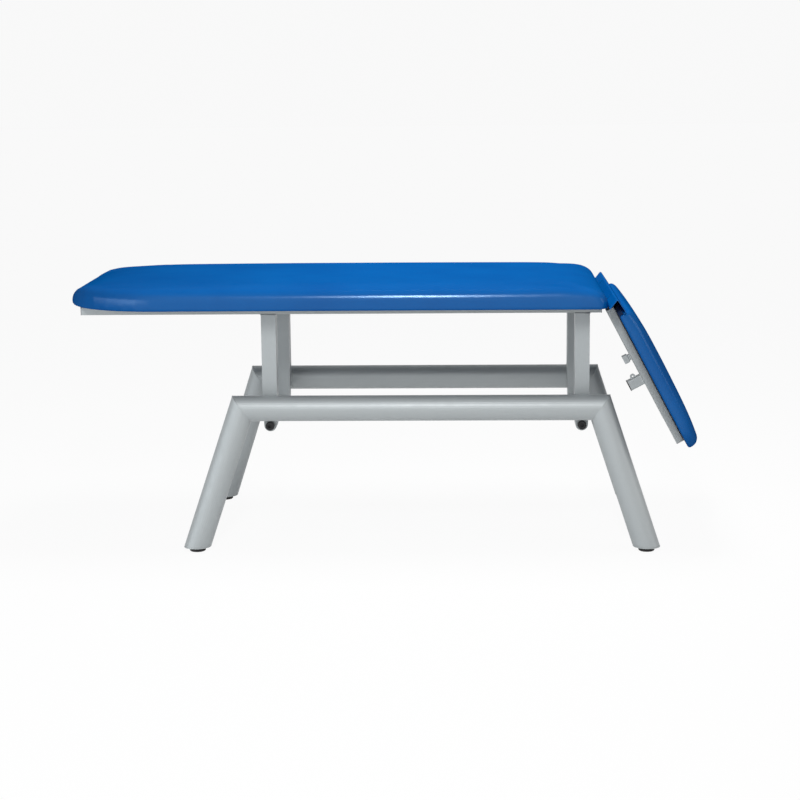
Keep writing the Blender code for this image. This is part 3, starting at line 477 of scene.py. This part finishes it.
def white_to_the_camera(tree, base, white, output, fill):
    """Mix a shader with plain white for what the camera, reflections and glass see."""
    path = tree.nodes.new("ShaderNodeLightPath")
    seen = path.outputs["Is Camera Ray"]
    for ray in ("Is Glossy Ray", "Is Transmission Ray"):
        either = tree.nodes.new("ShaderNodeMath")
        either.operation = "MAXIMUM"
        tree.links.new(seen, either.inputs[0])
        tree.links.new(path.outputs[ray], either.inputs[1])
        seen = either.outputs[0]
    share = tree.nodes.new("ShaderNodeMath")
    share.operation = "MULTIPLY"
    share.inputs[1].default_value = fill
    tree.links.new(seen, share.inputs[0])
    mix = tree.nodes.new("ShaderNodeMixShader")
    tree.links.new(share.outputs[0], mix.inputs["Fac"])
    tree.links.new(base.outputs[0], mix.inputs[1])
    tree.links.new(white.outputs[0], mix.inputs[2])
    tree.links.new(mix.outputs[0], output.inputs["Surface"])


def make_floor():
    material = bpy.data.materials.new("pale_floor")
    material.use_nodes = True
    material.cycles.emission_sampling = "NONE"
    tree = material.node_tree
    shader = tree.nodes["Principled BSDF"]
    shader.inputs["Base Color"].default_value = (FLOOR_GREY, FLOOR_GREY, FLOOR_GREY, 1)
    shader.inputs["Roughness"].default_value = FLOOR_ROUGHNESS
    white = tree.nodes.new("ShaderNodeEmission")
    white.inputs["Strength"].default_value = 1.0
    white_to_the_camera(tree, shader, white, tree.nodes["Material Output"], FLOOR_FILL)
    shape = bmesh.new()
    bmesh.ops.create_grid(shape, x_segments=1, y_segments=1, size=FLOOR_SIZE / 2)
    floor = bpy.data.objects.new("floor", mesh_from(shape, "floor"))
    scene.collection.objects.link(floor)
    floor.data.materials.append(material)
    floor.location.z = -FLOOR_BELOW


def make_world():
    world = bpy.data.worlds.new("studio")
    scene.world = world
    world.use_nodes = True
    tree = world.node_tree
    soft = tree.nodes["Background"]
    soft.inputs["Color"].default_value = WORLD_COLOUR
    soft.inputs["Strength"].default_value = WORLD_STRENGTH
    white = tree.nodes.new("ShaderNodeBackground")
    white.inputs["Color"].default_value = (FAR_FLOOR_WHITE, FAR_FLOOR_WHITE, FAR_FLOOR_WHITE, 1)
    white.inputs["Strength"].default_value = 1.0
    white_to_the_camera(tree, soft, white, tree.nodes["World Output"], 1.0)


def make_lamp(name, location, target, size, power, colour, reflected):
    data = bpy.data.lights.new(name, "AREA")
    data.shape = "RECTANGLE"
    data.size, data.size_y = size
    data.energy = power
    data.color = colour
    lamp = bpy.data.objects.new(name, data)
    scene.collection.objects.link(lamp)
    lamp.location = location
    lamp.rotation_euler = (Vector(target) - Vector(location)).to_track_quat("-Z", "Y").to_euler()
    lamp.visible_glossy = reflected


def make_camera():
    forward = Vector((sin(CAMERA_YAW) * cos(CAMERA_PITCH), cos(CAMERA_YAW) * cos(CAMERA_PITCH),
                      -sin(CAMERA_PITCH)))
    level_right = Vector((cos(CAMERA_YAW), -sin(CAMERA_YAW), 0))
    level_down = forward.cross(level_right)
    right = cos(CAMERA_ROLL) * level_right + sin(CAMERA_ROLL) * level_down
    down = -sin(CAMERA_ROLL) * level_right + cos(CAMERA_ROLL) * level_down
    data = bpy.data.cameras.new("camera")
    data.lens = CAMERA_LENS
    data.sensor_width = CAMERA_SENSOR
    data.clip_end = CAMERA_REACH
    camera = bpy.data.objects.new("camera", data)
    scene.collection.objects.link(camera)
    turn = Matrix((right, -down, -forward)).transposed().to_4x4()
    camera.matrix_world = Matrix.Translation(CAMERA_PLACE) @ turn
    scene.camera = camera


make_floor()
make_world()
for lamp in LAMPS:
    make_lamp(*lamp)
make_camera()

scene.view_settings.view_transform = "Standard"
